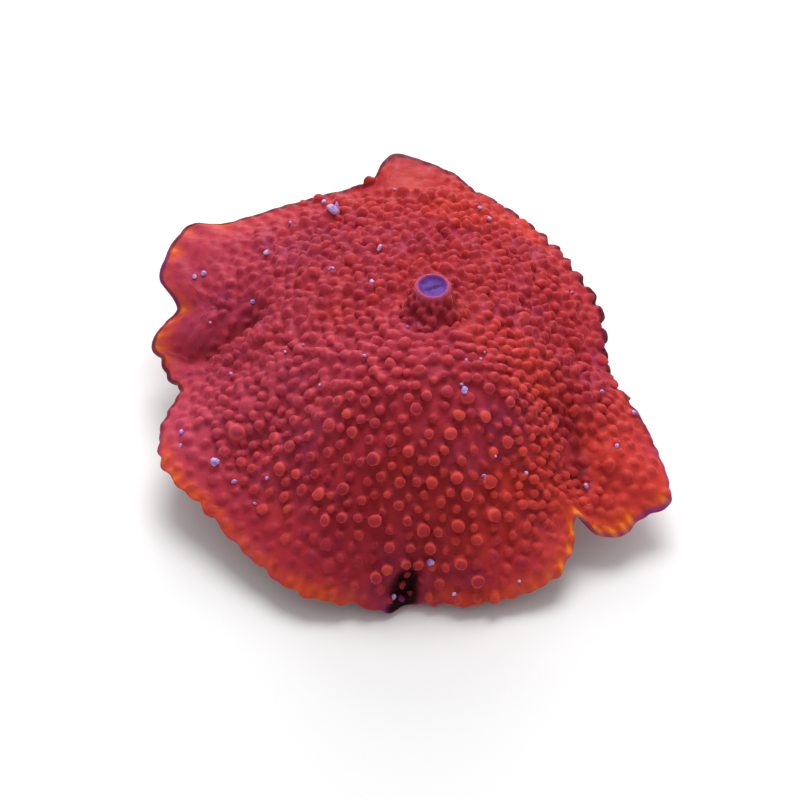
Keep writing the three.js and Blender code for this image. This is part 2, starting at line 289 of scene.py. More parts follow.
def living_skin(flat):
    """The same skin as it lives, with low waves all over, a tuck at the front and a frilled rim."""
    place = skin(flat)
    out = np.linalg.norm(flat, axis=1) / CALM_RADIUS
    turn = np.arctan2(flat[:, 1], flat[:, 0])
    place[:, 1:] += np.outer(POCKET_DEPTH * in_pocket(out, turn), POCKET_MOVE)
    for wave in range(SWELL_WAVES):
        heading = chance(wave, 21) * 2 * math.pi
        length = blend(*SWELL_LENGTHS, chance(wave, 22))
        along = place[:, 0] * np.cos(heading) + place[:, 1] * np.sin(heading)
        place[:, 2] += SWELL * np.sin(along * 2 * math.pi / length + wave) * ease(1 - out, 0, 0.15)
    middle, width, more = PLEATED_RIM
    stronger = 1 + more * np.exp(-(apart_in_turn(turn, middle) / width) ** 2)
    near_rim = ease(out, FRILL_FROM, 1) * stronger
    for number, (waves, height) in enumerate(FRILL):
        wobble = waves * turn + 2.5 * np.sin(5 * turn + number) + number
        strength = height * (0.6 + 0.4 * np.sin(7 * turn + 2 * number)) * near_rim
        place[:, :2] += polar(0.9 * strength * np.sin(wobble), turn)
        place[:, 2] += 0.7 * strength * np.cos(wobble + 1)
    azimuth = apart_in_turn(turn, 0)
    scalloped = (ease(azimuth, SCALLOPED_FROM, SCALLOPED_FROM + SCALLOPED_FADE)
                 * ease(-azimuth, -SCALLOPED_TO, SCALLOPED_FADE - SCALLOPED_TO))
    scallop = np.abs(np.cos(0.5 * (SCALLOPS * turn + 1.2 * np.sin(7 * turn)))) - SCALLOP_MIDDLE
    place[:, :2] += polar(SCALLOP_DEPTH * scallop * scalloped * ease(out, 0.95, 1), turn)
    return place


def tangents(surface, flat, step):
    """How a skin runs for one millimetre of the flat disc, in x and in y."""
    return [(surface(flat + move) - surface(flat - move)) / (2 * step)
            for move in (np.array([step, 0]), np.array([0, step]))]


def living_normal(flat):
    """The living skin's outward normal."""
    normal = np.cross(*tangents(living_skin, flat, LIVING_STEP))
    return normal / np.linalg.norm(normal, axis=1)[:, None]


def evenness(flat):
    """How little the solid's flesh is sheared: 1 is not at all."""
    along_x, along_y = tangents(skin, flat, SOLID_STEP)
    area = np.linalg.norm(np.cross(along_x, along_y), axis=1)
    return 2 * area / ((along_x**2).sum(1) + (along_y**2).sum(1))


# The mouth stands up from the middle of the disc on a pleated cone. Its smooth round lip is
# pinkish, and its floor, a little sunken, is violet with a slit across it.
MOUTH_PROFILE = [
    (3.95, 0.15), (3.6, 0.45), (3.3, 0.9), (3.02, 1.5), (2.78, 2.2), (2.6, 2.9), (2.5, 3.4),
    (2.4, 3.78), (2.2, 3.92), (2.0, 3.86), (1.86, 3.64), (1.68, 3.46), (1.4, 3.38), (1.1, 3.36),
    (0.8, 3.35), (0.5, 3.34), (0.25, 3.34),
]
LIP_ROW = 8
MOUTH_LEAN = math.radians(5)
MOUTH_BACK = 0.95
# Between which heights the cone leaves the shape of the skin, takes its lean, and stands back.
LEAVES_SKIN = (0.3, 2.5)
TAKES_LEAN = (0.5, 3.0)
STANDS_BACK = (0.3, 3.5)
mouth_middle = living_skin(np.array([[0.001, 0.0]]))[0]


def on_mouth(radius, rise, turn, sunk=0.0):
    """Places on the mouth's cone, which leans to the front and stands a little back."""
    flat = polar(radius, turn)
    lift = ease(rise, *LEAVES_SKIN)
    level = blend(living_skin(flat)[:, 2], mouth_middle[2], lift) + rise - sunk - mouth_middle[2]
    tilt = MOUTH_LEAN * ease(rise, *TAKES_LEAN)
    back = MOUTH_BACK * ease(rise, *STANDS_BACK)
    return mouth_middle + np.column_stack([
        flat[:, 0], flat[:, 1] * np.cos(tilt) - level * np.sin(tilt) + back,
        flat[:, 1] * np.sin(tilt) + level * np.cos(tilt)])


# Warts cover the disc: blunt lumps of the same flesh, most of them round heads down the front and
# low mounds, grown together, on the flat top. They stand at random. Larger ones, like those of the
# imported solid, come first, and small ones fill the gaps.
LARGE_DARTS = 3600
LARGE_REACH = (0.18, 0.94)
LARGE_GAP = (2.25, 2.6)
SMALL_DARTS = 14000
SMALL_REACH = (0.125, 0.985)
SMALL_GAP = (1.38, 1.68)
SETTLING = 10
SETTLED_GAP = (2.2, 2.9)
SETTLING_PUSH = 0.25
FRONT = (6, 16)
TIGHT_FOLD = 0.5
SMALL_TIGHT_FOLD = 0.3
CROWDED = 0.7
# Where the warts crowd or thin out: place seen from above, radius and share of the usual gap.
CROWDS = [
    (16.5, -9, 3.5, 0.75), (19, -14, 3.5, 0.68), (20.3, -18.5, 3.5, 0.55), (22.5, -21, 3.5, 0.5),
    (26, -21, 3.0, 0.6), (23, -14, 2.6, 1.5), (-30, 24, 5, 1.2),
]
# Where the warts stay low: place seen from above, radius and share of the usual height.
CALM_PLACES = [
    (1, 34, 4.5, 0.1), (4.5, 32.5, 3.5, 0.2), (-29, 22, 8, 0.3), (-31, 8, 5, 0.45), (31, -13, 5.5, 0.6),
    (26.5, -13.5, 3, 0.5), (23, -20, 4, 0.75), (-14, -27, 6, 0.75),
]
# Warts that stand out: azimuth, share out, spread, height and roundness.
HEROES = [
    (-109.9, 0.64, 1.7, 1.5, 0.8), (-105.9, 0.80, 1.6, 1.9, 1.0), (-103.9, 0.93, 1.45, 1.5, 0.9),
    (-165, 0.39, 1.5, 1.3, 0.6), (-116.9, 0.24, 1.5, 1.3, 0.7), (-158.9, 0.75, 2.2, 1.6, 0.1),
    (-164.1, 0.69, 2.3, 1.0, 0.0), (-101.3, 0.905, 1.3, 1.4, 0.9), (-97.6, 0.893, 1.3, 1.5, 0.9),
    (-93.6, 0.91, 1.4, 1.5, 0.9), (-98.0, 0.953, 1.0, 1.2, 0.9), (-88.2, 0.955, 1.4, 1.2, 0.8),
    (-79.5, 0.95, 1.6, 1.4, 0.8), (-84, 0.985, 1.3, 0.9, 0.8), (-108, 0.965, 1.2, 0.8, 0.7),
    (-100.4, 0.98, 0.9, 0.9, 0.8), (-97.4, 0.99, 0.9, 0.8, 0.8), (-95.3, 0.985, 0.8, 0.7, 0.8),
    (-91, 0.99, 1.3, 0.8, 0.7), (-76, 0.99, 1.4, 0.8, 0.7), (-112, 0.985, 1.3, 0.7, 0.6),
    (-105.5, 0.985, 1.2, 0.7, 0.7), (105.3, 0.98, 1.5, 1.3, 0.8), (118, 0.98, 1.5, 0.8, 0.6),
    (122, 0.98, 1.2, 0.6, 0.5),
]
# Along the scalloped rim stands a row of knobs: how far out, and their spacing in degrees.
KNOB_OUT = 0.965
KNOB_STEP = 6.8
KNOB_SPREAD = 1.7
KNOB_HEIGHT = 0.5
KNOB_LEAN = 0.6
KNOB_ROUND = 0.8
KNOBS_STRAY = (0.8, 0.012)
KNOB_SPREADS = (0.7, 1.1)
KNOB_HEIGHTS = (0.6, 1.3)


def darts(count, between, salt):
    """Places thrown evenly at the flat disc, between two shares of its radius."""
    number = np.arange(count)
    share = blend(between[0] ** 2, between[1] ** 2, chance(number, salt))
    return polar(np.sqrt(share) * CALM_RADIUS, chance(number, salt + 1) * 2 * math.pi)


def thinned(flat, gap, taken):
    """The darts that are kept: each one far enough from those before it and those taken."""
    root = skin(flat)
    kept = []
    standing = list(taken)
    for number in range(len(flat)):
        near = np.linalg.norm(np.array(standing) - root[number], axis=1).min() if standing else np.inf
        if near > gap[number]:
            kept.append(number)
            standing.append(root[number])
    return flat[kept], standing


def spots(azimuth, out):
    """Places on the flat disc by azimuth and share out."""
    return polar(np.asarray(out) * CALM_RADIUS, np.radians(azimuth))


def wider_in_front(root, gap):
    """A gap between warts, wider where they stand down the front."""
    return blend(*gap, ease(-root[:, 1], *FRONT))


def away_from(root, x, y):
    """How far warts are from a spot, seen from above."""
    return np.hypot(root[:, 0] - x, root[:, 1] - y)


heroes = np.array(HEROES)
knob_count = int((SCALLOPED_TO - SCALLOPED_FROM) / KNOB_STEP)
knob_number = np.arange(knob_count)
knobs = spots(SCALLOPED_FROM + KNOB_STEP * (knob_number + KNOBS_STRAY[0] * chance(knob_number, 8)),
              KNOB_OUT - KNOBS_STRAY[1] * chance(knob_number, 9))
chosen = np.concatenate([spots(heroes[:, 0], heroes[:, 1]), knobs])
large = darts(LARGE_DARTS, LARGE_REACH, 1)
large = large[evenness(large) > TIGHT_FOLD]
large_root = skin(large)
large_gap = wider_in_front(large_root, LARGE_GAP)
for crowd_x, crowd_y, crowd_radius, crowd_share in CROWDS:
    if crowd_share < CROWDED:
        large_gap[away_from(large_root, crowd_x, crowd_y) < crowd_radius] = np.inf
large, standing = thinned(large, large_gap, list(skin(chosen)))
large = np.concatenate([chosen, large])
small = darts(SMALL_DARTS, SMALL_REACH, 11)
small = small[evenness(small) > SMALL_TIGHT_FOLD]
small_root = skin(small)
small_gap = wider_in_front(small_root, SMALL_GAP)
for crowd_x, crowd_y, crowd_radius, crowd_share in CROWDS:
    nearness = np.exp(-(away_from(small_root, crowd_x, crowd_y) / crowd_radius) ** 2)
    small_gap = small_gap * blend(1, crowd_share, nearness)
small, standing = thinned(small, small_gap, standing)

# The small ones then shift a little out of each other's way.
for step in range(SETTLING):
    root = np.concatenate([skin(large), skin(small)])
    toward = root[len(large):, None] - root[None]
    away = np.linalg.norm(toward, axis=2)
    away[away < 1e-9] = np.inf
    wide = wider_in_front(root[len(large):], SETTLED_GAP)[:, None]
    push = np.clip(wide - away, 0, None) / wide
    small = small + SETTLING_PUSH * ((toward / away[:, :, None]) * push[:, :, None]).sum(1)[:, :2]
    radius = np.linalg.norm(small, axis=1)
    held = np.clip(radius, SMALL_REACH[0] * CALM_RADIUS, SMALL_REACH[1] * CALM_RADIUS)
    small = small * (held / radius)[:, None]

# Each wart's size, in millimetres: how far it spreads on the skin, and how high it stands. Its
# roundness is 0 for a low mound and 1 for a ball on a neck.
LARGE_SPREAD = (1.4, 1.42)
SMALL_SPREAD = (1.15, 1.05)
SPREAD_VARIES = (0.85, 1.2)
SPREAD_ROOM = 0.88
SPREAD_LEAST = 0.5
HEIGHT_SHARE = (0.82, 0.95)
HEIGHT_VARIES = (0.8, 1.2)
ROUNDNESS = (0.55, 0.95)
ROUNDNESS_VARIES = (0.6, 1)
# How far a wart leans outward and sideways, as shares of its height.
LEAN_OUTWARD = (-0.1, 0.35)
LEAN_SIDEWAYS = (-0.25, 0.25)
# From back to front the warts change, between these distances in front of the frame's middle.
FRONT_SIDE = (3, 17)
# Near the rim they are low and flat, but less so round one azimuth at the front.
MARGIN = (0.78, 0.97)
MARGIN_HEIGHT = 0.36
MARGIN_ROUNDNESS = 0.3
FULL_FRONT = (-93, 15)
FULL_SHARE = 0.85
# At the left back they are smaller: how far left and back, and shares of spread and height.
LEFT_SIDE = (6, 22)
BACK_SIDE = (-8, 4)
LEFT_BACK_SIZE = (0.85, 0.8)
wart_flat = np.concatenate([large, small])
wart_count = len(wart_flat)
wart_number = np.arange(wart_count)
wart_root = living_skin(wart_flat)
wart_normal = living_normal(wart_flat)
wart_out = np.linalg.norm(wart_flat, axis=1) / CALM_RADIUS
wart_front = ease(-wart_root[:, 1], *FRONT_SIDE)
wart_turn = np.arctan2(wart_flat[:, 1], wart_flat[:, 0])
full_front = np.exp(-(apart_in_turn(wart_turn, FULL_FRONT[0]) / FULL_FRONT[1])**2)
wart_margin = ease(wart_out, *MARGIN) * (1 - FULL_SHARE * full_front)
apart = np.linalg.norm(wart_root[:, None] - wart_root[None], axis=2)
np.fill_diagonal(apart, np.inf)
nearest = apart.min(axis=1)
is_large = wart_number < len(large)
usual = np.where(is_large, blend(*LARGE_SPREAD, wart_front), blend(*SMALL_SPREAD, wart_front))
usual = usual * blend(*SPREAD_VARIES, chance(wart_number, 31))
left_back = ease(-wart_root[:, 0], *LEFT_SIDE) * ease(wart_root[:, 1], *BACK_SIDE)
usual = usual * blend(1, LEFT_BACK_SIZE[0], left_back)
wart_spread = np.maximum(np.minimum(usual, SPREAD_ROOM * nearest), SPREAD_LEAST)
wart_height = wart_spread * blend(*HEIGHT_SHARE, wart_front)
wart_height = wart_height * blend(*HEIGHT_VARIES, chance(wart_number, 35))
wart_height *= blend(1, MARGIN_HEIGHT, wart_margin) * blend(1, LEFT_BACK_SIZE[1], left_back)
for calm_x, calm_y, calm_radius, calm_share in CALM_PLACES:
    nearness = np.exp(-(away_from(wart_root, calm_x, calm_y) / calm_radius) ** 4)
    wart_height *= blend(1, calm_share, nearness)
wart_round = blend(*ROUNDNESS, wart_front) * blend(*ROUNDNESS_VARIES, chance(wart_number, 33))
wart_round *= blend(1, MARGIN_ROUNDNESS, wart_margin)
outward = wart_root - np.array([MOUTH_X, MOUTH_Y, DISC_HEIGHT])
outward[:, 2] = 0
outward -= wart_normal * (outward * wart_normal).sum(1)[:, None]
outward /= np.linalg.norm(outward, axis=1)[:, None]
sideways = np.cross(wart_normal, outward)
wart_lean = (outward * blend(*LEAN_OUTWARD, chance(wart_number, 37))[:, None]
             + sideways * blend(*LEAN_SIDEWAYS, chance(wart_number, 38))[:, None])
wart_lean *= wart_height[:, None]
wart_tint = chance(wart_number, 36)
hero = slice(0, len(heroes))
wart_spread[hero], wart_height[hero], wart_round[hero] = heroes[:, 2], heroes[:, 3], heroes[:, 4]
knob = slice(len(heroes), len(heroes) + knob_count)
wart_spread[knob] = KNOB_SPREAD * blend(*KNOB_SPREADS, chance(knob_number, 31))
wart_height[knob] = KNOB_HEIGHT * blend(*KNOB_HEIGHTS, chance(knob_number, 35))
wart_round[knob] = KNOB_ROUND
wart_lean[knob] = outward[knob] * KNOB_LEAN

# Neighbours that stand side by side round the mouth have grown together: a low bridge joins them.
BRIDGE_GAP = 2.6
BRIDGE_SHARE = 0.25
FEWER_IN_FRONT = 0.9
FEWER_AT_RIM = 0.5
BRIDGE_SIDEWAYS = 0.8
BRIDGE_LAP = 0.25
BRIDGE_HEIGHT = 0.68
bridges = []
for one in range(len(chosen), wart_count):
    for other in np.flatnonzero(apart[one] < BRIDGE_GAP):
        if other <= one:
            continue
        across = (wart_root[other] - wart_root[one]) / apart[one, other]
        side_on = abs(across @ sideways[one])
        likely = (BRIDGE_SHARE * (1 - FEWER_IN_FRONT * wart_front[one])
                  * (1 - FEWER_AT_RIM * wart_margin[one]))
        if side_on > BRIDGE_SIDEWAYS and chance(one * 7 + other, 39) < likely:
            bridges.append((one, other))
one, other = np.array(bridges).T


def between(values):
    return 0.5 * (values[one] + values[other])


def more_warts(**values):
    """Adds warts to the list, each value under its name."""
    for name, value in values.items():
        warts[name] = np.concatenate([warts[name], value])


warts = {"root": wart_root, "way": wart_normal, "lean": wart_lean, "spread": wart_spread,
         "height": wart_height, "roundness": wart_round, "tint": wart_tint}
bridge_way = between(wart_normal)
more_warts(root=living_skin(between(wart_flat)), lean=between(wart_lean), tint=between(wart_tint),
           way=bridge_way / np.linalg.norm(bridge_way, axis=1)[:, None],
           spread=0.5 * apart[one, other] + BRIDGE_LAP, height=BRIDGE_HEIGHT * between(wart_height),
           roundness=np.zeros(len(bridges)))

# Small warts climb the cone of the mouth, and one larger one hangs at its front.
CONE_WARTS = 54
CONE_TURN_STEP = 2.4
CONE_TURN_STRAY = 0.6
CONE_RISE = (0.1, 2.9)
CONE_SIZES = (1.2, 0.7)
CONE_SIZE_VARIES = (0.8, 1.15)
CONE_HEIGHT = 0.9
CONE_ROUNDNESS = 0.6
CONE_WAY = (0.8, 0.6)
# The larger one: turn, rise and size.
HANGING_WART = (math.radians(-93), 1.0, 1.35)
cone_number = np.arange(CONE_WARTS)
cone_turn = CONE_TURN_STEP * cone_number + CONE_TURN_STRAY * chance(cone_number, 51)
cone_rise = blend(*CONE_RISE, chance(cone_number, 52))
cone_size = blend(*CONE_SIZES, cone_rise / CONE_RISE[1])
cone_size = cone_size * blend(*CONE_SIZE_VARIES, chance(cone_number, 54))
cone_turn[0], cone_rise[0], cone_size[0] = HANGING_WART
cone = np.array(MOUTH_PROFILE[:LIP_ROW])
cone_radius = np.interp(cone_rise, cone[:, 1], cone[:, 0])
cone_way = np.column_stack([polar(CONE_WAY[0], cone_turn), np.full(CONE_WARTS, CONE_WAY[1])])
more_warts(root=on_mouth(cone_radius, cone_rise, cone_turn), way=cone_way,
           lean=np.zeros((CONE_WARTS, 3)), spread=cone_size, height=CONE_HEIGHT * cone_size,
           roundness=np.full(CONE_WARTS, CONE_ROUNDNESS), tint=chance(cone_number, 53))

# Warts that overlap go to different layers, because a layer lifts each place by its nearest one.
apart = np.linalg.norm(warts["root"][:, None] - warts["root"][None], axis=2)
crossing = apart < warts["spread"][:, None] + warts["spread"][None]
wart_layer = np.full(len(crossing), -1)
for number in np.argsort(-crossing.sum(1), kind="stable"):
    taken = set(wart_layer[crossing[number]])
    wart_layer[number] = next(layer for layer in range(len(crossing)) if layer not in taken)

# The flesh is drawn as closed rounds of points, from the floor of the mouth over its lip, out to
# the rim, back under it, and down the stalk to the flat cut. Each point carries its marks: how
# far out it lies, and how much of it is underside, mouth floor, slit, lip or deep shade.
POINT_STEP = 0.27
MARKS = ("out", "under", "floor", "slit", "lip", "deep")
points, marks, rounds = [], [], []


def turns(sides, offset=0.0):
    return (np.arange(sides) + offset) / sides * 2 * math.pi


def add_round(places, **values):
    """Adds a closed round of points. A mark without a value is 0 there."""
    rounds.append((len(points), len(places)))
    points.extend(places.tolist())
    marks.extend(np.column_stack([np.broadcast_to(values.get(name, 0.0), len(places))
                                  for name in MARKS]).tolist())


# The rounds of the mouth come first, from the middle of its floor outward.
MOUTH_RING = 4.1
MOUTH_STEP = 0.24
MOUTH_SIDES_LEAST = 14
PLEATS = 17
PLEAT = 0.16
SLIT_TURN = math.radians(22)
SLIT_LENGTH = 1.2
SLIT_WIDTH = 0.2
SLIT_DEPTH = 0.3
# The lip's colour and the cone's shade: between which heights, and how dark.
LIP_RISE = (3.1, 3.8)
CONE_SHADE = 0.75
CONE_SHADE_FROM = (0.2, 0.9)
CONE_SHADE_TO = (2.5, 3.4)
profile = np.array(MOUTH_PROFILE)
profile_slope = np.gradient(profile, axis=0)
profile_travel = np.concatenate([[0], np.linalg.norm(np.diff(profile, axis=0), axis=1).cumsum()])
mouth_rows = int(profile_travel[-1] / POINT_STEP)
for travelled in np.linspace(profile_travel[-1], 0, mouth_rows + 1):
    row = float(np.interp(travelled, profile_travel, np.arange(len(profile))))
    last = min(int(row), len(profile) - 2)
    radius, rise = cubic(profile[last], profile_slope[last], profile[last + 1], profile_slope[last + 1],
                         1, row - last)
    mouth_turn = turns(max(MOUTH_SIDES_LEAST, int(2 * math.pi * radius / MOUTH_STEP)))
    swelling = math.sin(math.pi * min(1, (row + 1) / LIP_ROW))
    pleat = PLEAT * swelling * np.cos(PLEATS * mouth_turn + 1.3 * np.sin(3 * mouth_turn))
    flat = polar(radius + pleat, mouth_turn)
    u = flat[:, 0] * math.cos(SLIT_TURN) + flat[:, 1] * math.sin(SLIT_TURN)
    v = flat[:, 1] * math.cos(SLIT_TURN) - flat[:, 0] * math.sin(SLIT_TURN)
    slit = np.exp(-(v / SLIT_WIDTH)**2 - (u / SLIT_LENGTH)**4) * (row > LIP_ROW)
    place = on_mouth(radius + pleat, rise, mouth_turn, SLIT_DEPTH * slit)
    shade = CONE_SHADE * ease(rise, *CONE_SHADE_FROM) * (1 - ease(rise, *CONE_SHADE_TO))
    add_round(place, out=radius / CALM_RADIUS, floor=ease(row, LIP_ROW - 1, LIP_ROW + 3), slit=slit,
              lip=ease(rise, *LIP_RISE), deep=shade)

# The sheet's rounds lie evenly along it, and have as many points as their length asks for.
PROBES = 120
PROBE_SIDES = 72
ROW_SHARE = 0.87
probe_out = np.linspace(MOUTH_RING / CALM_RADIUS, 1, PROBES)
probe = np.stack([living_skin(polar(np.full(PROBE_SIDES, out * CALM_RADIUS), turns(PROBE_SIDES)))
                  for out in probe_out])
girth = np.linalg.norm(probe - np.roll(probe, 1, axis=1), axis=2).sum(1)
travel = np.concatenate([[0], np.linalg.norm(np.diff(probe, axis=0), axis=2).mean(1).cumsum()])
row_count = int(travel[-1] / (ROW_SHARE * POINT_STEP))
for row in range(row_count + 1):
    out = float(np.interp(row / row_count * travel[-1], travel, probe_out))
    sides = int(np.interp(out, probe_out, girth) / POINT_STEP)
    rim_turn = turns(sides, chance(row, 43))
    add_round(living_skin(polar(np.full(sides, out * CALM_RADIUS), rim_turn)), out=out)

# The rim turns over in a thin round edge. The underside, faintly ribbed, runs back to the
# stalk, which is furrowed lengthwise, narrows to a waist and spreads again to the flat cut.
EDGE_ROWS = 5
EDGE_BULGE = 0.5
UNDER_LEAN = math.radians(40)
UNDER_ROWS = 15
UNDER_SIDES = 240
RIBS = 48
RIB_HEIGHT = 0.14
STALK_AT = 0.46
STALK_PULL = 9.0
STALK_ROWS = 30
FURROWS = 34
FURROW_DEPTH = 0.55
WRINKLES = 8
WRINKLE_DEPTH = 0.1
WAIST_RADIUS = 9.0
WAIST_HEIGHT = 7.0
FOOT_RADIUS = 14.0
FOOT_SHARES = (0.94, 0.75, 0.5, 0.25)


def underside(out, turn):
    """Places below the skin, drawn in a little towards the stalk."""
    out = np.full(len(turn), float(out))
    lean = out * UNDER_LEAN
    flesh = blend(FLESH_MIDDLE, FLESH_RIM, ease(out, 0.3, 1))
    flesh += RIB_HEIGHT * np.cos(RIBS * turn) * ease(out, STALK_AT, 0.6) * ease(1 - out, 0, 0.15)
    inward = -np.column_stack([polar(np.sin(lean), turn), np.cos(lean)])
    return living_skin(polar(out * CALM_RADIUS, turn)) + inward * flesh[:, None]


edge_top = living_skin(polar(np.full(sides, CALM_RADIUS), rim_turn))
edge_low = underside(1, rim_turn)
for row in range(1, EDGE_ROWS):
    angle = math.pi * row / EDGE_ROWS
    middle = blend(edge_top, edge_low, 0.5 - 0.5 * math.cos(angle))
    middle[:, :2] += polar(np.full(sides, EDGE_BULGE * FLESH_RIM * math.sin(angle)), rim_turn)
    add_round(middle, out=1 + 0.02 * math.sin(angle), under=0.5 - 0.5 * math.cos(angle))
add_round(edge_low, out=1, under=1)
for out in np.linspace(1, STALK_AT, UNDER_ROWS + 1)[1:-1]:
    under_turn = turns(int(blend(UNDER_SIDES, 2 * UNDER_SIDES, ease(out, 0.6, 1))))
    add_round(underside(out, under_turn), out=out, under=1)
under_turn = turns(UNDER_SIDES)
leave = underside(STALK_AT, under_turn)
pull = underside(STALK_AT - 0.1, under_turn) - leave
pull = leave + STALK_PULL * pull / np.linalg.norm(pull, axis=1)[:, None]
waist = np.column_stack([polar(WAIST_RADIUS, under_turn), np.full(UNDER_SIDES, WAIST_HEIGHT)])
foot = np.column_stack([polar(FOOT_RADIUS, under_turn), np.zeros(UNDER_SIDES)])
for row in range(STALK_ROWS + 1):
    t = row / STALK_ROWS
    place = (1 - t)**3 * leave + 3 * (1 - t)**2 * t * pull + 3 * (1 - t) * t**2 * waist + t**3 * foot
    furrow = (0.5 + 0.5 * np.cos(FURROWS * under_turn + 1.8 * np.sin(5 * under_turn)))**3
    furrow *= ease(t, 0, 0.3)
    wrinkle = np.sin(2 * math.pi * WRINKLES * t + 2 * np.sin(3 * under_turn))
    wrinkle *= ease(t, 0.2, 0.5) * (1 - t)
    place[:, :2] -= polar(FURROW_DEPTH * furrow + WRINKLE_DEPTH * wrinkle, under_turn)
    # The furrows are marked to be painted darker, as painted shade.
    add_round(place, out=STALK_AT * (1 - t), under=1, deep=0.8 * furrow)
for share in FOOT_SHARES:
    add_round(place * (share, share, 1), under=1)

# Triangles zip each round to the next, and a point closes the first round and the last.
faces = []
for (first, sides), (next_first, next_sides) in zip(rounds, rounds[1:]):
    here, there = 0, 0
    while here < sides or there < next_sides:
        a, b = first + here % sides, next_first + there % next_sides
        if (here + 1) * next_sides <= (there + 1) * sides:
            here += 1
            faces.append((a, b, first + here % sides))
        else:
            there += 1
            faces.append((a, b, next_first + there % next_sides))
for (first, sides), opening in ((rounds[0], True), (rounds[-1], False)):
    middle = len(points)
    points.append(np.mean(np.array(points[first:first + sides]), axis=0).tolist())
    marks.append(tuple(np.mean(np.array(marks[first:first + sides]), axis=0)))
    for side in range(sides):
        a, b = first + side, first + (side + 1) % sides
        faces.append((middle, a, b) if opening else (a, middle, b))

# Orange glows in a band just inside the rim, in patches. The very edge is violet in places at the
# left and front, and a thin dark maroon at the back. Stations: azimuth, orange and violet.
RIM_TINTS = [
    (-172, 0.2, 0.3), (-166, 0.4, 0.3), (-160, 0.85, 0.1), (-150, 0.7, 0), (-141, 0.6, 0.1),
    (-131, 0.7, 0.1), (-124, 0.5, 0.1), (-117, 0.7, 0), (-109, 0.6, 0), (-103, 0, 0), (-99, 0, 1),
    (-95, 0, 0.2), (-90, 0.4, 0.1), (-80, 0.5, 0), (-70, 0.65, 0), (-60, 0.9, 0.1), (-50, 1, 0.4),
    (-45, 1, 0.5), (-38, 1, 0.5), (-35, 0.3, 0.7), (-31, 1, 0.7), (-26, 0.3, 0.4), (-15, 0, 0.5),
    (5, 0, 0), (40, 0, 0), (75, 0, 0), (90, 0, 0), (110, 0, 0), (130, 0.2, 0),
    (137, 0.3, 0), (140, 1, 0), (142.5, 0.3, 0.1), (144.5, 1, 0.1), (146.5, 0.2, 0.3),
    (149, 0.9, 0.5), (153, 0.5, 0.7), (157, 0.6, 0.7), (160, 1, 0.7), (163, 0.9, 0.5),
    (166, 1, 0.4), (170, 0.9, 0.2), (175, 0.5, 0.1),
]
GLOW_WIDTH = (0.035, 0.09)
VIOLET_WIDTH = 0.03
STRIPES = 120
STRIPE_DEPTH = 0.35
BACK_EDGE = 0.9
BACK_EDGE_FROM_TO = (-14, -2)
BACK_EDGE_WIDTH = (0.030, 0.013)
BACK_EDGE_LEFT = (8, 26)
# How much the outlines of the warts stray, at the back and at the front.
LOOSENESS = (1.0, 0.6)


def rim_tints(place, out):
    """How orange, how violet and how dark the flesh is at places seen from above."""
    azimuth = np.degrees(np.arctan2(place[:, 1] - MOUTH_Y, place[:, 0] - MOUTH_X))
    orange, violet = [np.clip(around(RIM_TINTS, azimuth, column), 0, 1) for column in (1, 2)]
    turn = np.radians(azimuth)
    stripe = 0.5 + 0.5 * np.sin(STRIPES * turn + 3 * np.sin(9 * turn))
    glow = orange * ease(out, 1 - blend(*GLOW_WIDTH, orange**2), 0.99)
    glow *= blend(1 - STRIPE_DEPTH, 1, stripe)
    fringe = violet * ease(out, 0.995 - VIOLET_WIDTH * violet**2, 1.0)
    width = blend(*BACK_EDGE_WIDTH, ease(-place[:, 0], *BACK_EDGE_LEFT))
    back = ease(place[:, 1], *BACK_EDGE_FROM_TO) * BACK_EDGE * ease(out, 1 - width, 1 - 0.45 * width)
    return glow, fringe, back * (1 - 0.7 * fringe)


def keep_values(mesh, **values):
    """Keeps numbers or vectors on the points of a mesh, each under its name."""
    for name, value in values.items():
        array = np.asarray(value, np.float32)
        kind, field = ("FLOAT", "value") if array.ndim == 1 else ("FLOAT_VECTOR", "vector")
        mesh.attributes.new(name, kind, "POINT").data.foreach_set(field, array.ravel())


flesh_mesh = bpy.data.meshes.new("polyp_flesh")
flesh_mesh.from_pydata((np.array(points) * MM).tolist(), [], faces)
flesh_place = np.array(points)
mark = dict(zip(MARKS, np.array(marks).T))
upper = 1 - mark["under"]
flesh_turn = np.arctan2(flesh_place[:, 1] - MOUTH_Y, flesh_place[:, 0] - MOUTH_X)
flesh_front = ease(-flesh_place[:, 1], *FRONT_SIDE)
orange, violet, edge = rim_tints(flesh_place, mark["out"])
# The pocket mark is where the tuck is painted near black, as painted shade.
mark["pocket"] = in_pocket(np.minimum(mark["out"], POCKET_AT[1]), flesh_turn) * upper
# Painted shade: the bottoms of the deepest folds are marked to be painted darker.
mark["deep"] = np.maximum(mark["deep"], in_crease(flesh_place[:, :2]) * upper)
keep_values(flesh_mesh, **mark, front=flesh_front, orange=orange, violet=violet, edge=edge,
            loose=blend(*LOOSENESS, flesh_front) * MM)
flesh = new_object("polyp_flesh", flesh_mesh)

# The points where the warts stand, each with its size and the way it points.
places_mesh = bpy.data.meshes.new("wart_places")
places_mesh.from_pydata((warts["root"] * MM).tolist(), [], [])
keep_values(places_mesh, way=warts["way"], lean=warts["lean"] * MM, spread=warts["spread"] * MM,
            height=warts["height"] * MM, roundness=warts["roundness"], tint=warts["tint"])
places_mesh.attributes.new("layer", "INT", "POINT").data.foreach_set("value", wart_layer)
wart_places = new_object("wart_places", places_mesh)

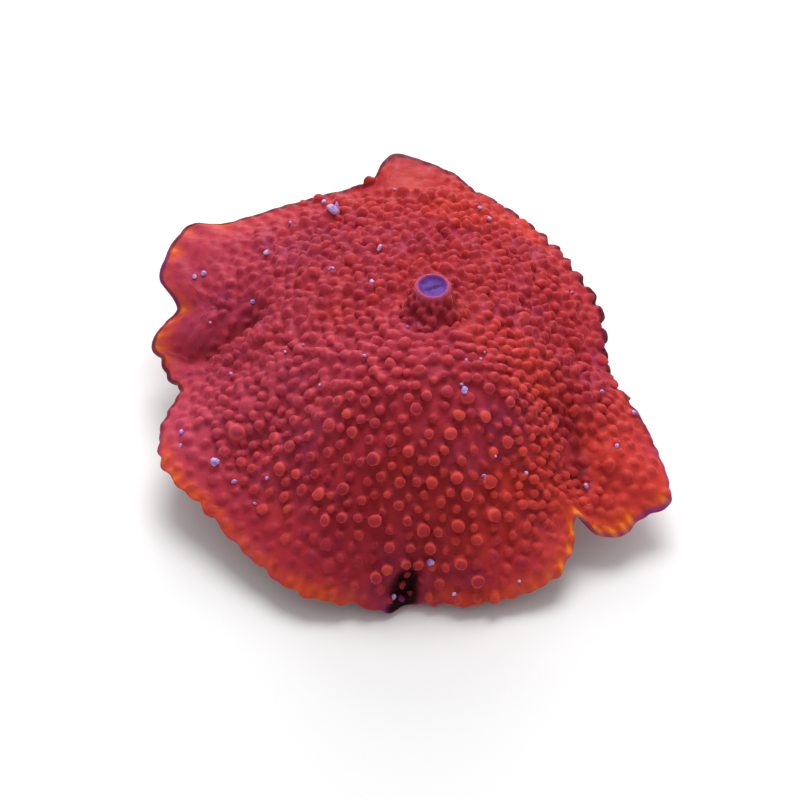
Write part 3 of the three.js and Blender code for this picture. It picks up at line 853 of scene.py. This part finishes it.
# Geometry nodes raise the warts out of the flesh, one layer after another. Where two meet, they
# run together. Each helper adds its node to the tree of the sockets that it is given.
FUSION = 3.4
MOUND_UP = [(0, 1), (0.2, 0.94), (0.42, 0.66), (0.62, 0.32), (0.82, 0.07), (1, 0)]
BALL_UP = [(0, 1), (0.2, 0.95), (0.36, 0.8), (0.5, 0.55), (0.64, 0.3), (0.8, 0.09), (1, 0)]
BALL_OUT = [(0, 0), (0.2, 0.3), (0.36, 0.5), (0.5, 0.57), (0.64, 0.53), (0.8, 0.62), (1, 1)]
LEANING = 1.5
STRAY_SCALE = 520.0
CRUMB_SCALE = 750.0
CRUMB_HEIGHT = 0.0002
CREST_BLUR = 9
HARDLY = 1e-7


def socket(tree, name, kind, default=None):
    made = tree.interface.new_socket(name, in_out="INPUT", socket_type=kind)
    if default is not None:
        made.default_value = default
    return made


def join(value, end):
    """Feeds an input from a socket of its tree, or sets it to a plain value."""
    if isinstance(value, bpy.types.NodeSocket):
        end.id_data.links.new(value, end)
    else:
        end.default_value = value


def node(tree, kind, inputs=None, **settings):
    """A node with its settings, and its inputs set or joined."""
    made = tree.nodes.new(kind)
    for name, value in settings.items():
        setattr(made, name, value)
    for name, value in (inputs or {}).items():
        join(value, made.inputs[name])
    return made


def tree_of(*values):
    """The tree of the first socket among some values."""
    return next(value.id_data for value in values if isinstance(value, bpy.types.NodeSocket))


def calc(operation, *values):
    """Arithmetic on single numbers."""
    return node(tree_of(*values), "ShaderNodeMath", dict(enumerate(values)), operation=operation).outputs[0]


def vector(operation, *values):
    """Arithmetic on vectors. The second value of a scaling is its scale."""
    ends = (0, "Scale") if operation == "SCALE" else (0, 1)
    made = node(tree_of(*values), "ShaderNodeVectorMath", dict(zip(ends, values)), operation=operation)
    return made.outputs["Value" if operation in ("DOT_PRODUCT", "LENGTH") else "Vector"]


def blended(share, a, b):
    """From number a to number b, by a share."""
    return node(tree_of(share, a, b), "ShaderNodeMix", {0: share, 2: a, 3: b}, data_type="FLOAT").outputs[0]


def curve(value, stations):
    """A smooth curve through stations."""
    made = node(value.id_data, "ShaderNodeFloatCurve", {"Value": value})
    line = made.mapping.curves[0]
    line.points[0].location, line.points[1].location = stations[0], stations[-1]
    for station in stations[1:-1]:
        line.points.new(*station)
    made.mapping.update()
    return made.outputs["Value"]


def named(tree, name, kind="FLOAT"):
    """A value kept on the points under a name."""
    read = node(tree, "GeometryNodeInputNamedAttribute", {"Name": name}, data_type=kind)
    return read.outputs["Attribute"]


def kept(geometry, name, value, kind="FLOAT"):
    """Keeps a value on the points under a name."""
    return node(geometry.id_data, "GeometryNodeStoreNamedAttribute",
                {"Geometry": geometry, "Name": name, "Value": value}, data_type=kind).outputs["Geometry"]


def worked(geometry, kind, inputs=None):
    """The geometry that comes out of a node."""
    return node(geometry.id_data, kind, {"Geometry": geometry, **(inputs or {})}).outputs["Geometry"]


def grow(piece, tree, values):
    """Grows a piece by a tree, and makes the result its plain mesh."""
    grower = piece.modifiers.new(tree.name, "NODES")
    grower.node_group = tree
    for end, value in values:
        grower[end.identifier] = value
    bpy.context.view_layer.update()
    evaluated = piece.evaluated_get(bpy.context.evaluated_depsgraph_get())
    mesh = bpy.data.meshes.new_from_object(evaluated)
    piece.modifiers.clear()
    piece.data = mesh
    return mesh


growth = bpy.data.node_groups.new("warts_raised_from_flesh", "GeometryNodeTree")
socket(growth, "Flesh", "NodeSocketGeometry")
places_in = socket(growth, "Wart places", "NodeSocketObject")
layers_in = socket(growth, "Layers", "NodeSocketInt", 1)
fusion_in = socket(growth, "Fusion", "NodeSocketFloat", FUSION)
tissue_in = socket(growth, "Tissue", "NodeSocketMaterial")
growth.interface.new_socket("Polyp", in_out="OUTPUT", socket_type="NodeSocketGeometry")
given = node(growth, "NodeGroupInput").outputs
grown = node(growth, "NodeGroupOutput").inputs

# Each place strays a little, so that no wart is quite round.
straying = node(growth, "ShaderNodeTexNoise", {"Scale": STRAY_SCALE, "Detail": 1.0}).outputs["Color"]
halfway = node(growth, "FunctionNodeInputVector", vector=(0.5, 0.5, 0.5)).outputs["Vector"]
stray = vector("SCALE", vector("SUBTRACT", straying, halfway), named(growth, "loose"))
strayed = kept(given["Flesh"], "stray", stray, "FLOAT_VECTOR")

# The loop over the layers adds up, for each place, what the nearest wart of each layer gives.
start = node(growth, "GeometryNodeRepeatInput")
again = node(growth, "GeometryNodeRepeatOutput")
start.pair_with_output(again)
for kind, name in [("FLOAT", "Weight"), ("FLOAT", "Share"), ("FLOAT", "Tint"), ("VECTOR", "Way"),
                   ("VECTOR", "Shift")]:
    again.repeat_items.new(kind, name)
join(given["Layers"], start.inputs["Iterations"])
join(strayed, start.inputs["Geometry"])
so_far = start.outputs
same_layer = node(growth, "FunctionNodeCompare",
                  {2: named(growth, "layer", "INT"), 3: so_far["Iteration"]},
                  data_type="INT", operation="EQUAL").outputs["Result"]
places = node(growth, "GeometryNodeObjectInfo", {"Object": given["Wart places"]}).outputs["Geometry"]
layer = node(growth, "GeometryNodeSeparateGeometry", {"Geometry": places, "Selection": same_layer},
             domain="POINT").outputs["Selection"]
here = node(growth, "GeometryNodeInputPosition").outputs["Position"]
nearest_wart = node(growth, "GeometryNodeSampleNearest", {"Geometry": layer, "Sample Position": here},
                    domain="POINT").outputs["Index"]


def of_wart(value, kind="FLOAT"):
    """A value of the layer's nearest wart."""
    return node(growth, "GeometryNodeSampleIndex",
                {"Geometry": layer, "Value": value, "Index": nearest_wart},
                data_type=kind, domain="POINT").outputs["Value"]


spread, height, roundness, shade = [of_wart(named(growth, name))
                                    for name in ("spread", "height", "roundness", "tint")]
way, lean = [of_wart(named(growth, name, "FLOAT_VECTOR"), "FLOAT_VECTOR") for name in ("way", "lean")]
astray = vector("ADD", here, named(growth, "stray", "FLOAT_VECTOR"))
offset = vector("SUBTRACT", astray, of_wart(here, "FLOAT_VECTOR"))
far = calc("MINIMUM", calc("DIVIDE", vector("LENGTH", offset), spread), 1.0)
up = blended(roundness, curve(far, MOUND_UP), curve(far, BALL_UP))
outer = blended(roundness, far, curve(far, BALL_OUT))
level = vector("SUBTRACT", offset, vector("SCALE", way, vector("DOT_PRODUCT", offset, way)))
push = vector("SCALE", vector("NORMALIZE", level), calc("MULTIPLY", spread, calc("SUBTRACT", outer, far)))
tilt = vector("SCALE", lean, calc("POWER", up, LEANING))
weight = calc("POWER", calc("MULTIPLY", calc("MULTIPLY", up, height), 1 / MM), given["Fusion"])
for name, more in [("Weight", weight), ("Share", calc("MULTIPLY", weight, up)),
                   ("Tint", calc("MULTIPLY", weight, shade))]:
    join(calc("ADD", so_far[name], more), again.inputs[name])
for name, more in [("Way", way), ("Shift", vector("ADD", push, tilt))]:
    join(vector("ADD", so_far[name], vector("SCALE", more, weight)), again.inputs[name])
join(so_far["Geometry"], again.inputs["Geometry"])

# The sums are shared out, and the upper side is lifted and gets its fine crumbled skin.
summed = again.outputs
part = calc("DIVIDE", 1.0, calc("MAXIMUM", summed["Weight"], HARDLY))
rise = calc("POWER", summed["Weight"], calc("DIVIDE", 1.0, given["Fusion"]))
raised = vector("SCALE", vector("SCALE", summed["Way"], part), calc("MULTIPLY", rise, MM))
lift = vector("ADD", raised, vector("SCALE", summed["Shift"], part))
evened = node(growth, "GeometryNodeBlurAttribute", {"Value": rise, "Iterations": CREST_BLUR},
              data_type="FLOAT").outputs[0]
marked = summed["Geometry"]
for name, value in [("rise", rise), ("crest", calc("SUBTRACT", rise, evened)),
                    ("head", calc("MULTIPLY", summed["Share"], part)),
                    ("tint", calc("MULTIPLY", summed["Tint"], part))]:
    marked = kept(marked, name, value)
crumb = node(growth, "ShaderNodeTexNoise", {"Scale": CRUMB_SCALE, "Detail": 2.0}).outputs["Fac"]
crumble = calc("MULTIPLY", calc("SUBTRACT", crumb, 0.5), CRUMB_HEIGHT)
skin_way = node(growth, "GeometryNodeInputNormal").outputs["Normal"]
moving = vector("SCALE", vector("ADD", lift, vector("SCALE", skin_way, crumble)),
                calc("SUBTRACT", 1.0, named(growth, "under")))
moved = worked(marked, "GeometryNodeSetPosition", {"Offset": moving})
whole = worked(worked(moved, "GeometryNodeSetShadeSmooth"), "GeometryNodeRealizeInstances")
join(worked(whole, "GeometryNodeSetMaterial", {"Material": given["Tissue"]}), grown["Polyp"])

# The tissue is soft and a little see-through: crimson, with a violet cast in the skin between
# the warts, painted coral highlights in belts round their heads, an orange rim with a violet or
# dark edge, and a violet mouth.
BACK_SKIN = ((0.46, 0.030, 0.042, 1), (0.39, 0.034, 0.090, 1))
# The heads are darker than the skin, partly their own tone and partly painted shade.
BACK_HEADS_SHADED = ((0.33, 0.018, 0.037, 1), (0.45, 0.029, 0.042, 1))
FRONT_SKIN = ((0.50, 0.030, 0.042, 1), (0.40, 0.036, 0.098, 1))
FRONT_HEADS_SHADED = ((0.34, 0.021, 0.044, 1), (0.48, 0.034, 0.050, 1))
HEAD_BRIGHT = (0.74, 0.085, 0.045, 1)
# A painted highlight: the coral of the rings round the heads.
BELT_HIGHLIGHT_CORAL = (0.90, 0.13, 0.09, 1)
GLOW_RED = (0.66, 0.055, 0.018, 1)
# Painted shade for the hollows between the warts, the creases, the cone and the furrows.
PAINTED_SHADE_MAROON = (0.20, 0.006, 0.014, 1)
LEFT_PINK = (0.36, 0.040, 0.105, 1)
CENTRE_PINK = (0.62, 0.075, 0.14, 1)
# Painted shade for the front of the disc.
FRONT_PAINTED_SHADE = (0.24, 0.008, 0.020, 1)
FLAP_RED = (0.34, 0.010, 0.014, 1)
RIM_ORANGE = (0.74, 0.10, 0.012, 1)
RIM_YELLOW = (0.94, 0.26, 0.008, 1)
RIM_VIOLET = (0.15, 0.025, 0.20, 1)
EDGE_MAROON = (0.085, 0.008, 0.024, 1)
UNDER_ROSE = (0.34, 0.035, 0.055, 1)
UNDER_PLUM = (0.20, 0.016, 0.045, 1)
FOOT_PALE = (0.56, 0.20, 0.16, 1)
LIP_PINK = (0.48, 0.065, 0.14, 1)
FLOOR_VIOLET = (0.12, 0.030, 0.24, 1)
FLOOR_BLUE = (0.12, 0.055, 0.34, 1)
SLIT_DARK = (0.07, 0.025, 0.17, 1)
# Painted shade: the near black of the pocket.
POCKET_PAINTED_SHADE = (0.02, 0.001, 0.002, 1)
# Values that are the same all over the tissue.
SOFTNESS = {
    "Specular IOR Level": 0.1, "Subsurface Weight": 0.25, "Subsurface Radius": (1.0, 0.22, 0.16),
    "Subsurface Scale": 0.0006, "Sheen Weight": 0.7, "Sheen Roughness": 0.3,
    "Sheen Tint": (1.0, 0.24, 0.17, 1),
}


def attribute(name):
    return node(tissue.node_tree, "ShaderNodeAttribute", attribute_name=name).outputs["Fac"]


def noise(place, scale, detail=3.0, rough=0.55):
    return node(place.id_data, "ShaderNodeTexNoise",
                {"Vector": place, "Scale": scale, "Detail": detail, "Roughness": rough}).outputs["Fac"]


def within(value, low, high, to_low=0.0, to_high=1.0):
    """A value eased from one range to another, and held there."""
    return node(value.id_data, "ShaderNodeMapRange",
                {"Value": value, "From Min": low, "From Max": high, "To Min": to_low, "To Max": to_high},
                interpolation_type="SMOOTHSTEP").outputs["Result"]


def mixed(share, a, b):
    """Colour a where the share is 0 and colour b where it is 1."""
    return node(tree_of(share, a, b), "ShaderNodeMix", {0: share, 6: a, 7: b}, data_type="RGBA").outputs[2]


def fine_grain():
    """A node group for the fine unevenness of flesh and of sand: roughness, and height for a bump."""
    made = bpy.data.node_groups.new("fine_grain", "ShaderNodeTree")
    socket(made, "Place", "NodeSocketVector")
    for name in ("Patch scale", "Least rough", "Most rough", "Grain scale"):
        socket(made, name, "NodeSocketFloat")
    for name in ("Roughness", "Height"):
        made.interface.new_socket(name, in_out="OUTPUT", socket_type="NodeSocketFloat")
    given = node(made, "NodeGroupInput").outputs
    handed = node(made, "NodeGroupOutput").inputs
    patches = node(made, "ShaderNodeTexNoise", {"Vector": given["Place"], "Scale": given["Patch scale"]})
    grit = node(made, "ShaderNodeTexNoise",
                {"Vector": given["Place"], "Scale": given["Grain scale"], "Detail": 4.0})
    join(within(patches.outputs["Fac"], 0.3, 0.7, given["Least rough"], given["Most rough"]),
         handed["Roughness"])
    join(grit.outputs["Fac"], handed["Height"])
    return made


unevenness = fine_grain()


def add_grain(shader, place, patch_scale, rough, grain_scale, strength, distance):
    """Gives a material's shader its fine unevenness."""
    uneven = node(place.id_data, "ShaderNodeGroup", node_tree=unevenness).inputs
    for name, value in [("Place", place), ("Patch scale", patch_scale), ("Least rough", rough[0]),
                        ("Most rough", rough[1]), ("Grain scale", grain_scale)]:
        join(value, uneven[name])
    felt = uneven["Place"].node.outputs
    bump = node(place.id_data, "ShaderNodeBump",
                {"Strength": strength, "Distance": distance, "Height": felt["Height"]})
    join(felt["Roughness"], shader["Roughness"])
    join(bump.outputs["Normal"], shader["Normal"])


tissue, tissue_shader = new_material("tissue")
at = node(tissue.node_tree, "ShaderNodeTexCoord").outputs["Object"]
head, crest, front, tint, orange = [attribute(name)
                                    for name in ("head", "crest", "front", "tint", "orange")]
across, deeper = node(tissue.node_tree, "ShaderNodeSeparateXYZ", {0: at}).outputs[:2]

# The skin between the warts and their heads, each in two tones, differ from front to back. The
# heads are darker than the skin, partly their own tone and partly painted shade.
dapple = within(noise(at, 110), 0.45, 0.65)
skin_colour = mixed(front, mixed(dapple, *BACK_SKIN), mixed(dapple, *FRONT_SKIN))
head_tone_and_shade = mixed(front, mixed(within(tint, 0.3, 0.9), *BACK_HEADS_SHADED),
                    mixed(within(tint, 0.2, 0.8), *FRONT_HEADS_SHADED))
bright = calc("MULTIPLY", within(tint, 0.88, 0.94, 0.0, 0.6), front)
head_tone_and_shade = mixed(bright, head_tone_and_shade, HEAD_BRIGHT)
colour = mixed(within(head, 0.25, 0.8), skin_colour, head_tone_and_shade)

# The left has a pinker cast, the front is darkened to a deeper maroon as painted shade, and the
# middle of the disc a paler pink. These go by the place on the polyp, in metres.
left = calc("MULTIPLY", within(across, 0.010, -0.030, 0.0, 0.36), within(deeper, -0.022, -0.008, 0.45, 1.0))
front_shade = calc("MULTIPLY", within(deeper, -0.006, -0.024), within(across, 0.004, 0.018, 0.3, 0.0))
middle = calc("MULTIPLY", within(deeper, -0.024, -0.006), within(deeper, 0.004, -0.006))
middle = calc("MULTIPLY", middle, within(across, 0.020, 0.004, 0.0, 0.38))
# Painted highlight: a bright coral ring round each head, stronger on tall ones, stands in for
# light through thin flesh.
belt_highlight = calc("MULTIPLY", within(head, 0.30, 0.55), within(head, 0.66, 0.9, 1.0, 0.0))
tall = calc("MULTIPLY", within(attribute("rise"), 0.4, 1.1), within(front, 0.0, 1.0, 0.26, 0.55))
# Painted shade: the hollows between the warts are painted a darker maroon.
hollow_shade = calc("MULTIPLY", within(crest, -0.04, -0.26), within(front, 0.0, 1.0, 0.42, 0.5))
# The rim glows orange in patches, and yellow where it is brightest.
glow = calc("MULTIPLY", orange, within(noise(at, 420), 0.35, 0.6, 0.55, 1.0))
glow_colour = mixed(within(orange, 0.65, 1.0), RIM_ORANGE, RIM_YELLOW)
# The underside is rose and plum, and paler at the foot.
beneath = mixed(within(noise(at, 170), 0.4, 0.65), UNDER_ROSE, UNDER_PLUM)
foot_colour = mixed(within(noise(at, 500), 0.4, 0.6), FOOT_PALE, UNDER_ROSE)
beneath = mixed(within(attribute("out"), 0.16, 0.0), beneath, foot_colour)
# Painted shade: the pocket is painted black with a ragged edge, but for the heads of the warts in it.
ragged = calc("ADD", attribute("pocket"), calc("MULTIPLY", noise(at, 330), 0.3))
pocket_shade = calc("MULTIPLY", within(ragged, 0.42, 0.92), within(head, 0.3, 0.8, 1.0, 0.35))
floor_colour = mixed(within(noise(at, 1400), 0.4, 0.6), FLOOR_VIOLET, FLOOR_BLUE)

# Each colour lies over those before it, by its share.
for share, over in [
    (within(noise(at, 48, 1.0), 0.46, 0.66, 0.0, 0.45), GLOW_RED), (left, LEFT_PINK),
    (within(deeper, 0.026, 0.033, 0.0, 0.5), FLAP_RED), (front_shade, FRONT_PAINTED_SHADE),
    (middle, CENTRE_PINK), (calc("MULTIPLY", belt_highlight, tall), BELT_HIGHLIGHT_CORAL), (hollow_shade, PAINTED_SHADE_MAROON),
    (glow, glow_colour), (attribute("violet"), RIM_VIOLET), (attribute("edge"), EDGE_MAROON),
    (within(attribute("under"), 0.5, 1.0), beneath),
    # Painted shade: the deep mark darkens the cone, the fold bottoms and the stalk's furrows.
    (calc("MULTIPLY", attribute("deep"), 0.7), PAINTED_SHADE_MAROON), (pocket_shade, POCKET_PAINTED_SHADE),
    (attribute("lip"), LIP_PINK), (attribute("floor"), floor_colour), (attribute("slit"), SLIT_DARK),
]:
    colour = mixed(share, colour, over)
join(colour, tissue_shader["Base Color"])
add_grain(tissue_shader, at, 900, (0.42, 0.58), 2600, 0.35, 0.0002)
for name, value in SOFTNESS.items():
    tissue_shader[name].default_value = value

# The polyp is grown, made one plain mesh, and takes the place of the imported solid.
polyp_mesh = grow(flesh, growth, [(places_in, wart_places), (layers_in, int(wart_layer.max()) + 1),
                                  (fusion_in, FUSION), (tissue_in, tissue)])
bpy.data.objects.remove(wart_places)
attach(flesh, "root")
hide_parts("polyp")

# Grains of pale, lavender sand have settled on the polyp and stick in its slime. Each is a small
# hard lump, a little sunk in the flesh, where the photograph shows it: its pixel, width and
# length in millimetres, and turn in degrees.
PHOTO_WIDTH = 800
LUMP = 0.62
LUMP_SCALE = 1500.0
GRAIN_SUNK = 0.22
GRAINS = [
    (332, 211, 1.25, 2.1, 65), (325, 203, 0.7, 0.9, 10), (337, 205, 0.6, 0.9, 120),
    (215, 463, 1.15, 1.2, 0), (465, 392, 0.95, 1.05, 30), (332, 269, 0.65, 0.9, 40),
    (291, 224, 0.6, 0.9, 120), (267, 253, 0.75, 0.9, 80), (204, 274, 0.75, 0.9, 15),
    (195, 277, 0.65, 0.7, 60), (253, 302, 0.55, 0.65, 0), (380, 248, 0.55, 1.1, 90),
    (373, 281, 0.7, 0.8, 20), (455, 595, 0.5, 0.6, 0), (393, 597, 0.6, 0.8, 50),
    (431, 563, 1.0, 1.0, 0), (182, 433, 0.6, 0.7, 0), (181, 446, 0.55, 0.6, 0),
    (235, 482, 0.5, 0.9, 20), (267, 478, 0.35, 0.5, 0), (255, 504, 0.35, 0.5, 0),
    (484, 477, 0.5, 0.5, 0), (495, 456, 0.35, 0.4, 0), (526, 474, 0.45, 0.55, 0),
    (586, 486, 0.5, 0.9, 110), (616, 446, 0.6, 0.65, 0), (634, 413, 0.6, 0.9, 120),
    (602, 392, 0.55, 0.6, 0), (407, 327, 0.35, 0.4, 0), (484, 352, 0.35, 0.4, 0),
    (466, 360, 0.35, 0.4, 0), (481, 359, 0.35, 0.4, 0), (462, 383, 0.45, 0.5, 0),
    (365, 356, 0.4, 0.5, 0), (320, 385, 0.35, 0.4, 0), (303, 345, 0.3, 0.35, 0),
    (285, 352, 0.3, 0.35, 0), (231, 374, 0.45, 0.6, 30), (211, 322, 0.4, 0.5, 0),
    (395, 190, 0.4, 0.5, 0), (480, 209, 0.5, 0.7, 60), (489, 219, 0.5, 0.6, 0),
    (516, 225, 0.4, 0.5, 0), (572, 293, 0.4, 0.5, 0), (519, 581, 0.4, 0.4, 0),
]


def photo_ray(across, down):
    """The way from the camera through a pixel of the photograph."""
    ahead = (Vector(LOOK_AT) - camera_place).normalized()
    right = Vector((1, 0, 0))
    half_width = camera.sensor_width / 2 / CAMERA_LENS
    return (ahead + right * half_width * (2 * across / PHOTO_WIDTH - 1)
            + right.cross(ahead) * half_width * (1 - 2 * down / PHOTO_WIDTH)).normalized()


polyp_skin = BVHTree.FromPolygons([point.co for point in polyp_mesh.vertices],
                                  [face.vertices for face in polyp_mesh.polygons])
grain_places, grain_turns, grain_sizes = [], [], []
for across, down, width, length, turn in GRAINS:
    place, way = polyp_skin.ray_cast(camera_place, photo_ray(across, down))[:2]
    grain_places.append(place + way * width * MM * (0.5 - GRAIN_SUNK))
    lie = way.to_track_quat("Z", "Y").to_matrix() @ Matrix.Rotation(math.radians(turn), 3, "Z")
    grain_turns.append(tuple(lie.to_euler()))
    grain_sizes.append((length * MM, width * MM, width * MM))
grains_mesh = bpy.data.meshes.new("grains")
grains_mesh.from_pydata(grain_places, [], [])
keep_values(grains_mesh, turn=grain_turns, size=grain_sizes)
grains = new_object("grains", grains_mesh)

GRAIN_PALE = (0.62, 0.46, 0.86, 1)
GRAIN_LILAC = (0.30, 0.16, 0.62, 1)
sand, sand_shader = new_material("sand")
sand_at = node(sand.node_tree, "ShaderNodeTexCoord").outputs["Object"]
join(mixed(within(noise(sand_at, 900), 0.4, 0.62), GRAIN_PALE, GRAIN_LILAC), sand_shader["Base Color"])
add_grain(sand_shader, sand_at, 3000, (0.5, 0.75), 5000, 0.4, 0.0001)

# Each grain is a ball stretched to its size and dented at random.
scatter = bpy.data.node_groups.new("grains_on_places", "GeometryNodeTree")
socket(scatter, "Places", "NodeSocketGeometry")
lump_in = socket(scatter, "Lumpiness", "NodeSocketFloat", LUMP)
scale_in = socket(scatter, "Lump scale", "NodeSocketFloat", LUMP_SCALE)
sand_in = socket(scatter, "Sand", "NodeSocketMaterial")
scatter.interface.new_socket("Grains", in_out="OUTPUT", socket_type="NodeSocketGeometry")
given = node(scatter, "NodeGroupInput").outputs
laid = node(scatter, "NodeGroupOutput").inputs
ball = node(scatter, "GeometryNodeMeshIcoSphere", {"Radius": 0.5, "Subdivisions": 3}).outputs["Mesh"]
put = node(scatter, "GeometryNodeInstanceOnPoints", {
    "Points": given["Places"], "Instance": ball,
    "Rotation": named(scatter, "turn", "FLOAT_VECTOR"), "Scale": named(scatter, "size", "FLOAT_VECTOR"),
}).outputs["Instances"]
dents = node(scatter, "ShaderNodeTexNoise", {"Scale": given["Lump scale"]}).outputs["Fac"]
dent = calc("MULTIPLY", calc("SUBTRACT", dents, 0.5), calc("MULTIPLY", given["Lumpiness"], MM))
grain_way = node(scatter, "GeometryNodeInputNormal").outputs["Normal"]
dented = worked(worked(put, "GeometryNodeRealizeInstances"), "GeometryNodeSetPosition",
                {"Offset": vector("SCALE", grain_way, dent)})
join(worked(dented, "GeometryNodeSetMaterial", {"Material": given["Sand"]}), laid["Grains"])
grow(grains, scatter, [(lump_in, LUMP), (scale_in, LUMP_SCALE), (sand_in, sand)])
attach(grains, "root")
